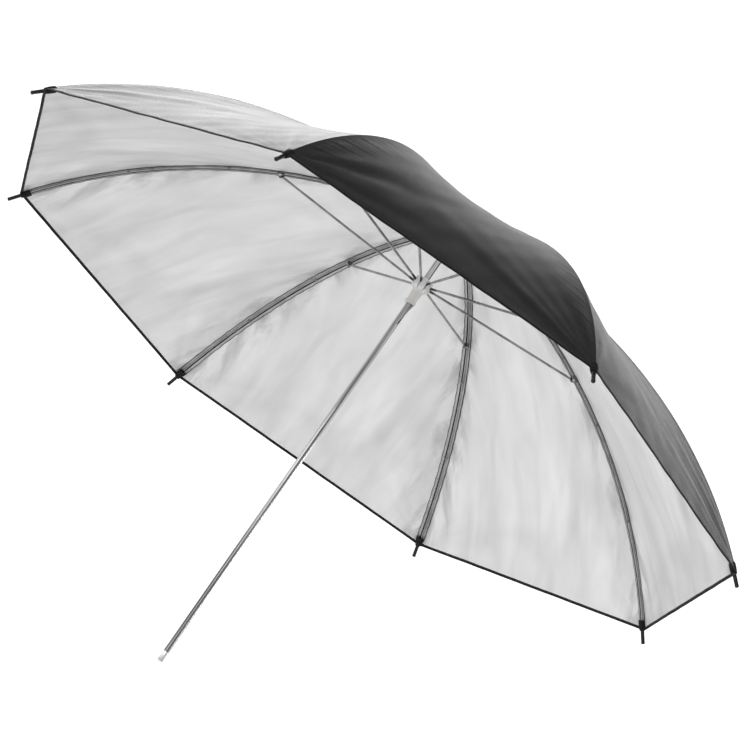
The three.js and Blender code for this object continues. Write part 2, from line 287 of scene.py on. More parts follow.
def sweep_faces(rings, count, closed_path=False):
    """Faces between rings of count points. An open sweep ends with its two caps."""
    faces = []
    last = rings if closed_path else rings - 1
    for i in range(last):
        a, b = i * count, ((i + 1) % rings) * count
        for j in range(count):
            k = (j + 1) % count
            faces.append((a + j, a + k, b + k, b + j))
    if not closed_path:
        faces.append(tuple(range(count - 1, -1, -1)))
        faces.append(tuple((rings - 1) * count + j for j in range(count)))
    return faces


def swept(name, sections, finish, closed_path=False, sharp_angle=40):
    """A body through rings of points that all follow the same outline."""
    sections = np.asarray(sections, float)
    rings, count = sections.shape[:2]
    faces = sweep_faces(rings, count, closed_path)
    return make_object(name, sections.reshape(-1, 3), faces, [finish], sharp_angle=sharp_angle)


def channel(stations, place, width, depth, wall, finish):
    """A swept U channel, bright outside and near-black in its hollow, where the dark steel is painted shade.
    place puts a section's point at a station.
    """
    outline = np.array(channel_section(width, depth, wall))
    points = [place(station, across, down) for station in stations for across, down in outline]
    across, down = ((outline + np.roll(outline, -1, 0)) / 2).T
    hollow = (np.abs(across) < (width - wall) / 2) & (down > wall / 2) & (down < depth * 0.98)
    slots = list(np.tile(hollow.astype(int), len(stations) - 1)) + [0, 0]
    faces = sweep_faces(len(stations), len(outline))
    return make_object("channel", points, faces, [finish, DARK_STEEL_SHADE], slots)


def lathed(name, outline, finish, segments=64, sharp_angle=35):
    """A body turned about Z, from (radius, height) points that end on the axis or where they start."""
    points = []
    closed = outline[0] == outline[-1]
    profile = outline[:-1] if closed else outline
    for radius, height in profile:
        for s in range(segments):
            angle = 2 * math.pi * s / segments
            points.append((radius * math.cos(angle), radius * math.sin(angle), height))
    faces = sweep_faces(len(profile), segments, closed)
    if not closed:
        del faces[-2:]
    obj = make_object(name, points, faces, [finish], sharp_angle=None)
    outward(obj, weld=True)
    shade(obj, sharp_angle)
    return obj


def rounded_outline(corners, radii, steps=4):
    """The outline of a polygon whose corners are rounded by arcs."""
    points = []
    count = len(corners)
    for i, radius in enumerate(radii):
        here = np.array(corners[i], float)
        before = np.array(corners[i - 1], float) - here
        after = np.array(corners[(i + 1) % count], float) - here
        before /= np.linalg.norm(before)
        after /= np.linalg.norm(after)
        half = math.acos(np.clip(before @ after, -1, 1)) / 2
        if radius <= 0 or abs(half - math.pi / 2) < 1e-3:
            points.append(tuple(here))
            continue
        centre = here + (before + after) / np.linalg.norm(before + after) * radius / math.sin(half)
        start = here + before * radius / math.tan(half) - centre
        end = here + after * radius / math.tan(half) - centre
        turn = math.atan2(start[0] * end[1] - start[1] * end[0], start @ end)
        for s in range(steps + 1):
            angle = turn * s / steps
            c, d = math.cos(angle), math.sin(angle)
            turned_start = np.array([start[0] * c - start[1] * d, start[0] * d + start[1] * c])
            points.append(tuple(centre + turned_start))
    return points


def channel_section(width, depth, wall):
    """A folded U channel as (across, depth) points, open at its deep side."""
    half = width / 2
    inner = half - wall
    corners = [
        (-half, 0), (half, 0), (half, depth), (inner, depth),
        (inner, wall), (-inner, wall), (-inner, depth), (-half, depth),
    ]
    bend = wall * 1.3
    lip = wall * 0.35
    radii = [bend, bend, lip, lip, wall * 0.5, wall * 0.5, lip, lip]
    return rounded_outline(corners, radii)


def plate(name, outline, thickness, finish, bevel=0.0):
    """A flat plate in the radial plane from (r, z) points, centred across it."""
    half = thickness / 2
    sections = [[(r, side * half, z) for r, z in outline] for side in (-1, 1)]
    obj = swept(name, sections, finish)
    return bevelled(obj, bevel) if bevel else obj


def bar_outline(round_end, far_end, radius, far_half):
    """A flat bar with a round end about one point and a square far end."""
    heading = math.atan2(far_end[1] - round_end[1], far_end[0] - round_end[0])
    stops = [(round_end, radius, heading + math.pi * (0.5 + step / 14)) for step in range(15)]
    stops += [(far_end, far_half, heading + side * math.pi / 2) for side in (-1, 1)]
    return [(at[0] + reach * math.cos(turn), at[1] + reach * math.sin(turn)) for at, reach, turn in stops]


def cross_pin(name, radius, length, at, finish, segments=24, dome=0.0):
    """A pin across the radial plane, with slightly domed ends."""
    half = length / 2
    outline = [(0, -half - dome), (radius * 0.7, -half - dome * 0.6), (radius, -half)]
    outline += [(radius, half), (radius * 0.7, half + dome * 0.6), (0, half + dome)]
    pin = lathed(name, outline, finish, segments, sharp_angle=50)
    pin.data.transform(Matrix.Translation((at[0], 0, at[1])) @ Matrix.Rotation(math.pi / 2, 4, "X"))
    return pin


def box_cutter(size, middle, azimuth=0.0):
    mesh = bpy.data.meshes.new("cutter")
    work = bmesh.new()
    bmesh.ops.create_cube(work, size=1)
    work.to_mesh(mesh)
    work.free()
    mesh.transform(Matrix.Diagonal((*size, 1)))
    mesh.transform(Matrix.Translation(middle))
    mesh.transform(Matrix.Rotation(azimuth, 4, "Z"))
    return added("cutter", mesh)


def tube_along(name, path, radius, finish, sides=8, closed=False):
    """A round thread or wire along a list of points."""
    path = np.asarray(path, float)
    if closed:
        heading = np.roll(path, -1, 0) - np.roll(path, 1, 0)
    else:
        heading = np.gradient(path, axis=0)
    heading /= np.linalg.norm(heading, axis=1)[:, None]
    side = np.cross(heading, [0.3, 0.2, 0.93])
    side /= np.linalg.norm(side, axis=1)[:, None]
    up = np.cross(side, heading)
    turns = np.linspace(0, 2 * np.pi, sides, endpoint=False)
    rings = path[:, None] + radius * (
        np.cos(turns)[None, :, None] * side[:, None] + np.sin(turns)[None, :, None] * up[:, None]
    )
    return swept(name, rings, finish, closed_path=closed, sharp_angle=60)


# ---------------------------------------------------------------- materials


class Shader:
    """A material's node tree with short ways to add and link nodes."""

    def __init__(self, name, **values):
        self.material = bpy.data.materials.new(name)
        self.material.use_nodes = True
        self.nodes = self.material.node_tree.nodes
        self.links = self.material.node_tree.links
        self.surface = self.nodes["Principled BSDF"]
        for socket, value in values.items():
            self.surface.inputs[socket.replace("_", " ")].default_value = value

    def add(self, kind, settings=None, **inputs):
        node = self.nodes.new(kind)
        for key, value in (settings or {}).items():
            setattr(node, key, value)
        for socket, value in inputs.items():
            self.feed(node, socket.replace("_", " "), value)
        return node

    def feed(self, node, socket, value):
        numbered = socket[:1] == "i" and socket[1:].isdigit()
        target = node.inputs[int(socket[1:]) if numbered else socket]
        if isinstance(value, bpy.types.NodeSocket):
            self.links.new(value, target)
        else:
            target.default_value = value

    def math(self, operation, a, b=0.0, c=0.0):
        node = self.add("ShaderNodeMath", {"operation": operation}, i0=a, i1=b, i2=c)
        return node.outputs[0]

    def span(self, value, low, high, to_low, to_high):
        node = self.add("ShaderNodeMapRange", None, i0=value, i1=low, i2=high, i3=to_low, i4=to_high)
        return node.outputs[0]

    def mix(self, share, first, second):
        node = self.add("ShaderNodeMix", {"data_type": "RGBA"}, i0=share, i6=first, i7=second)
        return node.outputs[2]

    def noise(self, vector, scale, detail=3.0, roughness=0.55, distortion=0.0):
        node = self.add("ShaderNodeTexNoise", None, Vector=vector, Scale=scale, Detail=detail,
                        Roughness=roughness, Distortion=distortion)
        return node.outputs[0]

    def stretched(self, vector, scale):
        node = self.add("ShaderNodeMapping", None, Vector=vector, Scale=scale)
        return node.outputs[0]

    def streaks(self, vector, scale, *character):
        return self.noise(self.stretched(vector, scale), 1.0, *character)

    def greys(self, value, low, high, dark, light):
        return self.mix(self.span(value, low, high, 0, 1), grey(dark), grey(light))

    def bump(self, height, distance, strength=1.0, normal=None):
        node = self.add("ShaderNodeBump", None, Height=height, Distance=distance, Strength=strength)
        if normal is not None:
            self.links.new(normal, node.inputs["Normal"])
        return node.outputs[0]

    def position(self):
        return self.add("ShaderNodeTexCoord").outputs["Object"]

    def cloth_uv(self):
        return self.add("ShaderNodeUVMap", {"uv_map": "cloth"}).outputs[0]

    def finish(self, **sockets):
        for socket, value in sockets.items():
            self.feed(self.surface, socket.replace("_", " "), value)
        return self.material


def grey(level):
    return (level, level, level, 1.0)


def weave_height(shader, uv):
    """A plain weave: warp and weft threads that pass over each other by turns."""
    wave = shader.stretched(uv, (THREADS_PER_METRE * math.pi,) * 3)
    parts = shader.add("ShaderNodeSeparateXYZ", None, Vector=wave)
    across = shader.math("SINE", parts.outputs[0])
    along = shader.math("SINE", parts.outputs[1])
    return shader.math("MULTIPLY", across, along)


def silver_lining():
    shader = Shader("silver_lining", Metallic=0.55, Roughness=0.42, Specular_IOR_Level=0.5)
    uv = shader.cloth_uv()
    streaks = shader.streaks(uv, (38, 7, 1), 3, 0.5, 0.6)
    patches = shader.streaks(uv, (10, 5, 1), 2, 0.5, 0.8)
    small, large = shader.math("MULTIPLY", streaks, 0.35), shader.math("MULTIPLY", patches, 0.65)
    level = shader.math("ADD", small, large)
    clouded = shader.greys(level, 0.34, 0.62, 0.70, 0.94)
    # Painted shade: beside the ribs the lining is darkened in blotches towards grey 0.26.
    shares = shader.add("ShaderNodeUVMap", {"uv_map": "gore"}).outputs[0]
    share = shader.add("ShaderNodeSeparateXYZ", None, Vector=shares)
    shade_blotches = shader.streaks(uv, (26, 6, 1), 4, 0.6, 1.5)
    near_rib = shader.span(shader.math("ABSOLUTE", share.outputs[0]), 0.72, 1.0, 0.0, 1.0)
    smudge_and_shade = shader.math("MULTIPLY", near_rib, shader.span(shade_blotches, 0.44, 0.62, 0.0, 0.75))
    colour = shader.mix(smudge_and_shade, clouded, grey(0.26))
    rough = shader.span(patches, 0.3, 0.7, 0.34, 0.5)
    crumple = shader.streaks(uv, (90, 30, 1), 3, 0.5, 1.2)
    creased = shader.bump(crumple, 0.0007, 0.35)
    woven = shader.bump(weave_height(shader, uv), 0.00006, 0.5, creased)
    return shader.finish(Base_Color=colour, Roughness=rough, Normal=woven)


def black_satin():
    shader = Shader("black_satin", Sheen_Weight=0.62, Sheen_Roughness=0.2, Specular_IOR_Level=0.5)
    shader.surface.inputs["Sheen Tint"].default_value = grey(0.9)
    uv = shader.cloth_uv()
    cloudy = shader.streaks(uv, (22, 12, 1), 4, 0.6, 0.5)
    speckle = shader.noise(uv, 420, 2)
    colour = shader.greys(speckle, 0.35, 0.65, 0.004, 0.022)
    rough = shader.span(cloudy, 0.3, 0.7, 0.42, 0.48)
    ripples = shader.streaks(uv, (90, 26, 1), 3, 0.5, 0.8)
    rippled = shader.bump(ripples, 0.0005, 0.2)
    rippled = shader.bump(speckle, 0.0003, 0.3, rippled)
    woven = shader.bump(weave_height(shader, uv), 0.00008, 0.7, rippled)
    return shader.finish(Base_Color=colour, Roughness=rough, Normal=woven)


def black_tape():
    shader = Shader("black_tape", Roughness=0.7, Specular_IOR_Level=0.25)
    threads = shader.noise(shader.position(), 1400, 2)
    colour = shader.greys(threads, 0.35, 0.65, 0.003, 0.012)
    return shader.finish(Base_Color=colour, Normal=shader.bump(threads, 0.00012, 0.6))


def seam_cloth():
    shader = Shader("seam_cloth", Roughness=0.55, Metallic=0.2)
    position = shader.position()
    threads = shader.noise(position, 700, 3)
    soiled = shader.noise(position, 30, 3)
    level = shader.math("ADD", shader.math("MULTIPLY", threads, 0.5), shader.math("MULTIPLY", soiled, 0.5))
    colour = shader.greys(level, 0.38, 0.62, 0.34, 0.70)
    return shader.finish(Base_Color=colour, Normal=shader.bump(threads, 0.0002, 0.7))


def sewing_thread(name, dark, light):
    shader = Shader(name, Roughness=0.55, Sheen_Weight=0.3)
    twist = shader.noise(shader.position(), 3000, 1)
    return shader.finish(Base_Color=shader.mix(twist, dark, light), Normal=shader.bump(twist, 0.00005, 0.5))


def chrome_plate(name, dark, light):
    shader = Shader(name, Metallic=1.0, Roughness=0.12)
    position = shader.position()
    smudge_and_shade = shader.noise(position, 60, 4, 0.6, 0.4)
    scratch = shader.streaks(position, (420, 420, 30), 2)
    colour = shader.greys(smudge_and_shade, 0.35, 0.7, dark, light)
    rough = shader.span(smudge_and_shade, 0.3, 0.75, 0.08, 0.2)
    return shader.finish(Base_Color=colour, Roughness=rough, Normal=shader.bump(scratch, 0.00002, 0.1))


def drawn_tube():
    """Polished tube, whose drawing marks run along it as dark and bright streaks."""
    shader = Shader("drawn_tube", Metallic=1.0, Roughness=0.14)
    position = shader.position()
    streak = shader.streaks(position, (330, 330, 3), 2)
    haze = shader.noise(position, 45, 3, 0.5)
    colour = shader.greys(streak, 0.42, 0.58, 0.17, 0.82)
    return shader.finish(Base_Color=colour, Roughness=shader.span(haze, 0.3, 0.75, 0.12, 0.2))


# Near-black steel: painted shade in the channels' hollows, and the stretchers' inner eye plates.
def dark_steel_shade():
    shader = Shader("dark_steel_shade", Metallic=0.6, Roughness=0.5)
    mottle = shader.noise(shader.position(), 90, 4, 0.6)
    colour = shader.greys(mottle, 0.35, 0.65, 0.03, 0.12)
    return shader.finish(Base_Color=colour, Roughness=shader.span(mottle, 0.3, 0.7, 0.4, 0.6))


def satin_steel():
    shader = Shader("satin_steel", Metallic=0.85, Roughness=0.34)
    grain = shader.streaks(shader.position(), (260, 260, 2400), 3)
    colour = shader.mix(grain, (0.66, 0.66, 0.65, 1), (0.90, 0.90, 0.88, 1))
    return shader.finish(Base_Color=colour, Normal=shader.bump(grain, 0.00003, 0.4))


def white_nylon():
    shader = Shader("white_nylon", Roughness=0.36, Subsurface_Weight=0.25, Subsurface_Scale=0.003, IOR=1.53)
    milky = shader.noise(shader.position(), 180, 3)
    colour = shader.mix(milky, (0.78, 0.775, 0.755, 1), (0.90, 0.895, 0.875, 1))
    rough = shader.span(milky, 0.3, 0.7, 0.3, 0.46)
    return shader.finish(Base_Color=colour, Roughness=rough, Normal=shader.bump(milky, 0.00012, 0.25))


def black_moulding():
    shader = Shader("black_moulding", Roughness=0.2, Specular_IOR_Level=0.35)
    wear = shader.noise(shader.position(), 240, 4, 0.6)
    colour = shader.greys(wear, 0.4, 0.7, 0.006, 0.016)
    rough = shader.span(wear, 0.3, 0.75, 0.18, 0.34)
    return shader.finish(Base_Color=colour, Roughness=rough, Normal=shader.bump(wear, 0.0001, 0.15))


def pale_floor():
    shader = Shader("pale_floor", Roughness=0.6)
    speckle = shader.noise(shader.position(), 8, 3)
    return shader.finish(Base_Color=shader.mix(speckle, grey(0.86), grey(0.90)))


SILVER = silver_lining()
SATIN = black_satin()
SEAM_CLOTH = seam_cloth()
TAPE = black_tape()
DARK_THREAD = sewing_thread("dark_thread", grey(0.01), grey(0.05))
GREY_THREAD = sewing_thread("grey_thread", grey(0.10), grey(0.34))
CHROME = chrome_plate("chrome_plate", 0.66, 0.84)
# A darker copy of the chrome plate: painted shade on the stretchers, saddle cheeks and spring catch.
SHADED_CHROME = chrome_plate("shaded_chrome", 0.20, 0.42)
TUBE_CHROME = drawn_tube()
STEEL = satin_steel()
DARK_STEEL_SHADE = dark_steel_shade()
NYLON = white_nylon()
MOULDED = black_moulding()

# ---------------------------------------------------------------- canopy


class Wrinkles:
    """Creases of one gore, as a height over the whole gore, so that its two halves match."""

    def __init__(self, seed):
        draw = np.random.RandomState(seed)
        self.corner_phase = draw.uniform(0, 2 * np.pi, (2, 3))
        self.corner_rate = draw.uniform(0.8, 1.25, (2, 3))
        self.corner_size = draw.uniform(0.6, 1.1, 2)
        self.rib_phase = draw.uniform(0, 2 * np.pi, (2, 3))
        self.crown_phase = draw.uniform(0, 2 * np.pi, 3)
        self.long_phase = draw.uniform(0, 2 * np.pi, 4)

    def height(self, along, across, width):
        """along, the distance from the crown, and width, the gore's half width there, are in metres."""
        side_ways = across * width
        total = np.zeros_like(along)
        length = BOW_RADIUS * (CORNER_ANGLE - bow_angle(CLOTH_FIRST_R))
        for side, sign in enumerate((-1, 1)):
            up_from_corner = length - along
            off_rib = np.clip(width - sign * side_ways, 0, None)
            distance = np.hypot(up_from_corner, off_rib) + 1e-6
            direction = np.arctan2(off_rib, up_from_corner + 1e-6)
            fan = np.zeros_like(along)
            for n, count in enumerate((8, 13, 20)):
                rate = count * self.corner_rate[side, n]
                fan += np.sin(rate * direction + self.corner_phase[side, n]) / (n + 1)
            reach = smooth(distance / 0.11) * np.exp(-distance / 0.12) * smooth(off_rib / 0.012)
            total += CORNER_FAN * self.corner_size[side] * fan * reach
            pucker = np.zeros_like(along)
            for n, pitch in enumerate((0.021, 0.013, 0.034)):
                slant = along + 0.6 * off_rib
                pucker += np.sin(2 * np.pi * slant / pitch + self.rib_phase[side, n])
            total += RIB_PUCKER * pucker * np.exp(-off_rib / 0.016) * smooth(off_rib / 0.011)
        off_both = smooth((width - np.abs(side_ways)) / 0.02)
        pleats = sum(np.sin((9 + 6 * n) * across + self.crown_phase[n]) for n in range(3))
        total += CROWN_PLEAT * pleats * smooth(along / 0.03) * np.exp(-along / 0.12) * off_both
        for n, pitch in enumerate((0.075, 0.052, 0.12, 0.038)):
            lean = side_ways + 0.35 * (n - 1.5) * along
            wave = np.sin(2 * np.pi * lean / pitch + self.long_phase[n])
            total += LONG_WAVE * wave * off_both * smooth(along / 0.1)
        return total


def cloth_surface(share_along, across, lift, wrinkles):
    """Points of a gore in its own frame, X along its middle. across runs from -1 to 1, rib to rib."""
    first = bow_angle(CLOTH_FIRST_R)
    angle = first + (CORNER_ANGLE - first) * share_along
    radius, height = bow_point(angle, -lift)
    width = radius * math.sin(HALF_GORE)
    sink = CLOTH_SAG * np.sin(np.pi * np.clip(share_along, 0, 1)) * (1 - across**2)
    along = BOW_RADIUS * (angle - first)
    sink = sink - wrinkles.height(along, across, width)
    x = radius * math.cos(HALF_GORE) - sink * np.sin(angle)
    y = width * across
    z = height - sink * np.cos(angle)
    return np.stack([x, y, z], -1)


def surface_normals(share_along, across, lift, wrinkles):
    """Outward normals by small steps, which run on across the fold line so that the two halves match."""
    step = 1e-3
    along = cloth_surface(share_along + step, across, lift, wrinkles)
    along = along - cloth_surface(share_along - step, across, lift, wrinkles)
    sideways = cloth_surface(share_along, across + step, lift, wrinkles)
    sideways = sideways - cloth_surface(share_along, across - step, lift, wrinkles)
    normal = np.cross(along, sideways)
    normal /= np.linalg.norm(normal, axis=-1, keepdims=True)
    return normal if normal[..., 2].mean() > 0 else -normal


def gore_grid(side):
    along = np.linspace(0, 1, CLOTH_ALONG + 1)
    across = np.linspace(0, 1, CLOTH_ACROSS + 1) ** 0.9
    return np.meshgrid(along, side * across, indexing="ij")


def half_gore(name, number, side):
    """A thin closed sheet: satin outside and silver inside."""
    wrinkles = Wrinkles(seed=number)
    along, across = gore_grid(side)
    outer = cloth_surface(along, across, CLOTH_LIFT + CLOTH_THICKNESS, wrinkles)
    inner = cloth_surface(along, across, CLOTH_LIFT, wrinkles)
    rows, columns = along.shape
    points = np.concatenate([outer.reshape(-1, 3), inner.reshape(-1, 3)])
    index = np.arange(rows * columns).reshape(rows, columns)
    quads = np.stack([index[:-1, :-1], index[1:, :-1], index[1:, 1:], index[:-1, 1:]], -1).reshape(-1, 4)
    under = quads[:, ::-1] + rows * columns
    border = np.concatenate([index[0, :], index[1:, -1], index[-1, -2::-1], index[-2:0:-1, 0]])
    after = np.roll(border, -1)
    rim = np.stack([border, border + rows * columns, after + rows * columns, after], -1)
    faces = np.concatenate([quads, under, rim])
    slots = np.concatenate([np.zeros(len(quads)), np.ones(len(under)), np.zeros(len(rim))])
    obj = make_object(name, points, faces.tolist(), [SATIN, SILVER], slots, sharp_angle=None)
    outer_normal = surface_normals(along, across, CLOTH_LIFT, wrinkles).reshape(-1, 3)
    lay_cloth_uv(obj, along, across)
    set_cloth_normals(obj, outer_normal)
    obj.data.transform(Matrix.Rotation((number - 0.5) * GORE, 4, "Z"))
    return obj


def loop_vertices(mesh):
    indices = np.empty(len(mesh.loops), np.int32)
    mesh.loops.foreach_get("vertex_index", indices)
    return indices


def lay_cloth_uv(obj, along, across):
    """One map in metres, so that a weave has one scale everywhere, and one in shares of the gore."""
    first = bow_angle(CLOTH_FIRST_R)
    angle = first + (CORNER_ANGLE - first) * along
    radius, _ = bow_point(angle, 0)
    metres = (radius * math.sin(HALF_GORE) * across, BOW_RADIUS * (angle - first))
    loops = loop_vertices(obj.data)
    for name, pair in (("cloth", metres), ("gore", (across, along))):
        values = np.stack(pair, -1).reshape(-1, 2)
        both_faces = np.concatenate([values, values])
        layer = obj.data.uv_layers.new(name=name)
        layer.data.foreach_set("uv", both_faces[loops].astype(np.float32).ravel())


def set_cloth_normals(obj, outer_normal):
    """The surface's own normals on both faces; the thin rim between them keeps its faces' normals."""
    mesh = obj.data
    count = len(outer_normal)
    normals = np.concatenate([outer_normal, -outer_normal])[loop_vertices(mesh)]
    for face in mesh.polygons:
        if min(face.vertices) < count <= max(face.vertices):
            normals[list(face.loop_indices)] = np.array(face.normal)
    mesh.normals_split_custom_set([tuple(n) for n in normals])


def fold_with_rib(obj):
    """Bakes a piece's placement into its mesh."""
    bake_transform(obj)


def hem_binding(name, number, side):
    """A narrow tape folded over the cloth's edge, from a rib's corner to the fold line."""
    wrinkles = Wrinkles(seed=number)
    across = side * np.linspace(0.0, 0.992, 90)
    share = np.ones_like(across)
    middle = CLOTH_LIFT + CLOTH_THICKNESS / 2
    edge = cloth_surface(share, across, middle, wrinkles)
    inward = cloth_surface(share - 0.004, across, middle, wrinkles) - edge
    inward /= np.linalg.norm(inward, axis=-1, keepdims=True)
    normal = surface_normals(share, across, CLOTH_LIFT, wrinkles)
    corners = [
        (-HEM_BULGE, -HEM_HALF), (HEM_WIDTH, -HEM_HALF), (HEM_WIDTH, HEM_HALF), (-HEM_BULGE, HEM_HALF),
    ]
    outline = rounded_outline(corners, [HEM_HALF * 0.9] * 4)
    rings = [[edge[i] + a * inward[i] + b * normal[i] for a, b in outline] for i in range(len(edge))]
    tape = swept(name, rings, TAPE, sharp_angle=60)
    stitches = hem_stitches(edge + HEM_WIDTH * 0.72 * inward, edge, normal)
    tape = joined(name, [tape, *stitches])
    tape.data.transform(Matrix.Rotation((number - 0.5) * GORE, 4, "Z"))
    return tape


def hem_stitches(inset_edge, edge, normal):
    """Running stitches along the binding, on both of its faces."""
    pieces = []
    length = np.concatenate([[0], np.cumsum(np.linalg.norm(np.diff(edge, axis=0), axis=1))])
    for face in (-1, 1):
        line = inset_edge + face * (HEM_HALF + 0.02 * MM) * normal
        paths = []
        for mark in np.arange(STITCH_PITCH, length[-1] - STITCH_PITCH, STITCH_PITCH):
            spots = np.linspace(mark, mark + STITCH_PITCH * 0.68, 4)
            paths.append(np.stack([np.interp(spots, length, line[:, k]) for k in range(3)], -1))
        pieces.append(many_threads(f"stitches_{face}", paths, 0.16 * MM, DARK_THREAD))
    return pieces


def many_threads(name, paths, radius, finish, sides=5):
    """Many short threads of the same number of points in one mesh."""
    turns = np.linspace(0, 2 * np.pi, sides, endpoint=False)
    points, faces = [], []
    for path in paths:
        heading = path[-1] - path[0]
        heading = heading / np.linalg.norm(heading)
        side = np.cross(heading, [0.31, 0.17, 0.93])
        side /= np.linalg.norm(side)
        up = np.cross(side, heading)
        start = len(points)
        for i, p in enumerate(path):
            slim = radius * (0.55 if i in (0, len(path) - 1) else 1.0)
            points += [p + slim * (math.cos(t) * side + math.sin(t) * up) for t in turns]
        faces += [tuple(start + v for v in face) for face in sweep_faces(len(path), sides)]
    return make_object(name, points, faces, [finish], sharp_angle=70)


def canopy():
    for number in range(1, RIBS + 1):
        for side, word in ((-1, "near"), (1, "far")):
            cloth = half_gore(f"canopy_{number}_{word}", number, side)
            hem = hem_binding(f"hem_{number}_{word}", number, side)
            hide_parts(f"gore_{number}_{word}")
            fold_with_rib(cloth)
            fold_with_rib(hem)


# ---------------------------------------------------------------- seams, ties and corner pockets


def depth_under_cloth(angle, off_plane):
    """How deep under the ribs' backs the cloth's inner face is, at a distance from a rib's middle plane."""
    first = bow_angle(CLOTH_FIRST_R)
    radius, _ = bow_point(angle, 0)
    across = 1 - off_plane / math.cos(HALF_GORE) / (radius * math.sin(HALF_GORE))
    sink = CLOTH_SAG * math.sin(math.pi * (angle - first) / (CORNER_ANGLE - first)) * (1 - across**2)
    return off_plane * math.tan(HALF_GORE) * math.sin(angle) + sink - CLOTH_LIFT


def seam_allowances():
    """The gores' sewn edges, turned inward and lying flat on both sides of every rib, with their threads."""
    angles = np.linspace(bow_angle(SEAM_FIRST_R), CORNER_ANGLE - 0.02, 150)
    flaps, threads = [], []
    for side in (-1, 1):
        rings = []
        for angle in angles:
            ripple = 0.25 * MM * math.sin(angle * 210 + side) + 0.12 * MM * math.sin(angle * 531)
            near, far = RIB_WIDTH / 2 + 0.15 * MM, RIB_WIDTH / 2 + SEAM_WIDTH + ripple
            corners = ((near, 0), (far, 0), (far, SEAM_THICKNESS), (near, SEAM_THICKNESS))
            rings.append([under_cloth(angle, across, side, extra) for across, extra in corners])
        flaps.append(swept(f"flap_{side}", rings, SEAM_CLOTH, sharp_angle=30))
        threads.append(overlock_threads(angles, side))
        raw_edge = [(ring[1][0], ring[1][1], ring[2][2] + 0.1 * MM) for ring in rings]
        threads.append(tube_along(f"edge_{side}", raw_edge, 0.42 * MM, TAPE, sides=6))
    return joined("seam", flaps), joined("overlock", threads)


def under_cloth(angle, across, side, extra):
    """A point just under the cloth's inner face, beside a rib."""
    depth = depth_under_cloth(angle, across) + SEAM_GAP + extra
    return beside_rib(angle, side * across, depth)


def overlock_threads(angles, side):
    """Zigzag threads over the raw edge of one flap, and the line of stitches beside the rib."""
    step = OVERLOCK_PITCH / BOW_RADIUS
    strokes = ((0, 0.55, 0.62, 1.02), (0.55, 1, 1.02, 0.62), (0, 0.7, 0.22, 0.22))
    paths = []
    for i in range(int((angles[-1] - angles[0]) / step)):
        at = angles[0] + (i + 0.5) * step
        for start, end, from_across, to_across in strokes:
            path = []
            for share in (0, 0.5, 1):
                angle = at + (start + (end - start) * share) * step
                across = RIB_WIDTH / 2 + (from_across + (to_across - from_across) * share) * SEAM_WIDTH
                path.append(under_cloth(angle, across, side, SEAM_THICKNESS))
            paths.append(np.array(path))
    return many_threads(f"overlock_{side}", paths, 0.17 * MM, GREY_THREAD, sides=4)


def thread_tie(angle):
    """A few turns of thread round the rib that hold the seam to it."""
    path = []
    turns, per_turn, squareness, pitch = 7, 20, 0.75, 0.42 * MM
    half_width, half_depth = RIB_WIDTH / 2 + 0.25 * MM, RIB_DEPTH / 2 + 0.5 * MM
    for i in range(turns * per_turn + 1):
        phase = 2 * math.pi * i / per_turn
        c, d = math.cos(phase), math.sin(phase)
        across = half_width * math.copysign(abs(c) ** squareness, c)
        depth = RIB_DEPTH / 2 + half_depth * math.copysign(abs(d) ** squareness, d)
        along = (i / per_turn - turns / 2) * pitch / BOW_RADIUS
        path.append(beside_rib(angle + along, across, depth))
    return tube_along("tie", path, 0.22 * MM, GREY_THREAD, sides=6)


def on_rib_end(obj):
    """Moves a piece turned about Z, whose zero is the canopy's edge, onto the line of the rib's end."""
    r, z = bow_point(CORNER_ANGLE, RIB_DEPTH / 2)
    turn = Matrix.Rotation(math.pi / 2 + CORNER_ANGLE, 4, "Y")
    obj.data.transform(Matrix.Translation((r, 0, z)) @ turn)
    return obj


def rib_cap():
    outline = [
        (2.4, -10), (2.75, -10), (3.0, -9.6), (3.0, -1.8), (2.85, -0.8), (2.4, 0.2), (2.25, 1.0), (2.2, 13.4),
        (2.35, 14.2), (2.35, 15.0), (2.1, 15.6), (1.5, 16.0), (0, 16.0), (0, 0.3), (2.4, 0.3), (2.4, -10),
    ]
    return on_rib_end(lathed("cap", in_metres(outline), MOULDED, 40, 38))


def corner_pocket():
    """The cloth's corner gathered and sewn round the cap's collar."""
    rings = []
    for i in range(15):
        share = i / 14
        along = -12.5 + 12.3 * share
        girth = 3.35 + 0.35 * math.sin(share * math.pi) + 0.25 * (1 - share)
        ring = []
        for j in range(40):
            angle = 2 * math.pi * j / 40
            gather = 0.14 * math.sin(7 * angle + 2 * share) + 0.08 * math.sin(13 * angle)
            flat = 1 + 0.55 * (1 - share) * abs(math.sin(angle))
            radius = girth + gather
            ring.append((radius * math.cos(angle), radius * flat * math.sin(angle), along))
        rings.append(in_metres(ring))
    inner = [[(x * 0.93, y * 0.93, z) for x, y, z in ring] for ring in reversed(rings)]
    return on_rib_end(swept("pocket", rings + inner, TAPE, closed_path=True, sharp_angle=60))


def sewn_trim():
    seam, overlock = seam_allowances()
    for piece in repeated(seam, "seam"):
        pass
    for piece in repeated(overlock, "overlock"):
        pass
    for name, share in TIE_SHARES.items():
        for piece in repeated(thread_tie(bow_angle(share * CORNER_R)), name):
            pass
    for piece in repeated(corner_pocket(), "corner_pocket"):
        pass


# ---------------------------------------------------------------- ribs and stretchers


def rib_channel():
    first = bow_angle(RIB_FIRST_R)
    angles = np.linspace(first, CORNER_ANGLE, 90)
    trough = channel(angles, beside_rib, RIB_WIDTH, RIB_DEPTH, RIB_WALL, CHROME)
    far = bow_point(first + 0.006, RIB_DEPTH / 2)
    pivot = (RIB_PIVOT_R, RIB_PIVOT_Z)
    tongue = plate("tongue", bar_outline(pivot, far, 1.7 * MM, 1.1 * MM), 1.0 * MM, CHROME)
    tongue = carved(tongue, [cross_pin("hole", 0.85 * MM, 8 * MM, pivot, CHROME)])
    return joined("rib", [trough, tongue])


